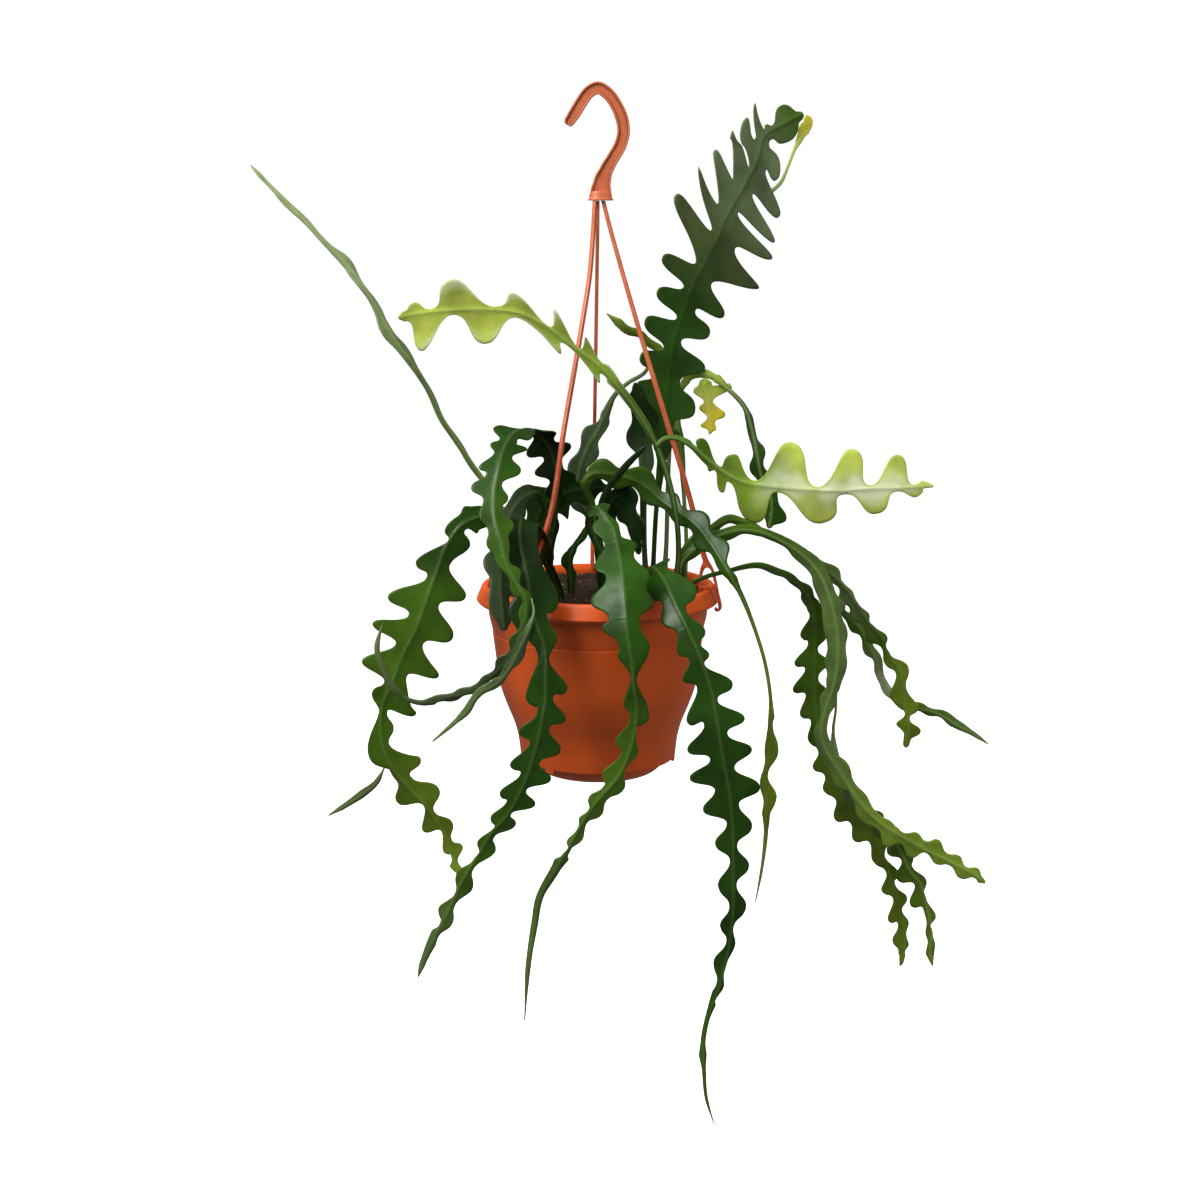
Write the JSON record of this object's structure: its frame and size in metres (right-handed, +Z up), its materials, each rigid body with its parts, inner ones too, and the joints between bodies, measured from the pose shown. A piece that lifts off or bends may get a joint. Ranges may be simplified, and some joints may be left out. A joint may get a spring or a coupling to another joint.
{
  "type": "fishbone cactus in hanging pot",
  "caption": "Fishbone cactus with long flat lobed stems, growing in a round plastic hanging pot with a drip dish, a flat hook and three strands.",
  "frame": {"origin": "the point under the crown of the hook that bears on a rail", "axes": "+Z up along the line on which the part hangs; +X across, in the plane in which the hook bends, towards the side of the hook's stem; +Y away from the side that the plant shows"},
  "size_m": [0.6487, 0.294, 0.8552],
  "materials": {
    "pot_plastic": "satin terracotta-coloured moulded plastic",
    "hanger_plastic": "smooth orange moulded plastic",
    "soil": "damp potting mix of bark, peat and grit",
    "stem_dark": "waxy dark green skin",
    "stem_green": "waxy mid green skin",
    "stem_pale": "glossy pale green skin, young growth",
    "stem_olive": "yellow-olive skin",
    "stem_grey": "grey-green skin",
    "stem_shaded": "very dark green skin in the middle of the plant"
  },
  "bodies": {
    "root": {"pot": "pot_plastic", "drip_dish": "pot_plastic", "soil": "soil", "hook": "hanger_plastic", "strand_left": "hanger_plastic", "strand_right": "hanger_plastic", "strand_back": "hanger_plastic", "stem_top_right": "stem_dark", "shoot_top_right": "stem_olive", "stem_arch_left": "stem_pale", "shoot_pale_right": "stem_pale", "stem_wand_left": "stem_grey", "stem_fold_left": "stem_dark", "stem_broad_left": "stem_green", "shoot_broad_left": "stem_grey", "stem_rim_left": "stem_grey", "shoot_front_left": "stem_green", "stem_front_left": "stem_dark", "stem_front_middle": "stem_dark", "stem_front_right": "stem_dark", "stem_thin_right": "stem_dark", "stem_back_right": "stem_grey", "shoot_yellow": "stem_olive", "stem_back_tip": "stem_pale", "stem_right_wide": "stem_green", "stem_right_low": "stem_green", "shoot_right_low": "stem_green", "stem_right_high": "stem_green", "shoot_right_high": "stem_grey", "stem_back_rising": "stem_grey", "stem_centre_dark": "stem_shaded", "stem_centre_right": "stem_shaded", "stem_centre_left": "stem_shaded", "stem_centre_thin": "stem_shaded", "stem_centre_short": "stem_shaded"}
  },
  "joints": []
}
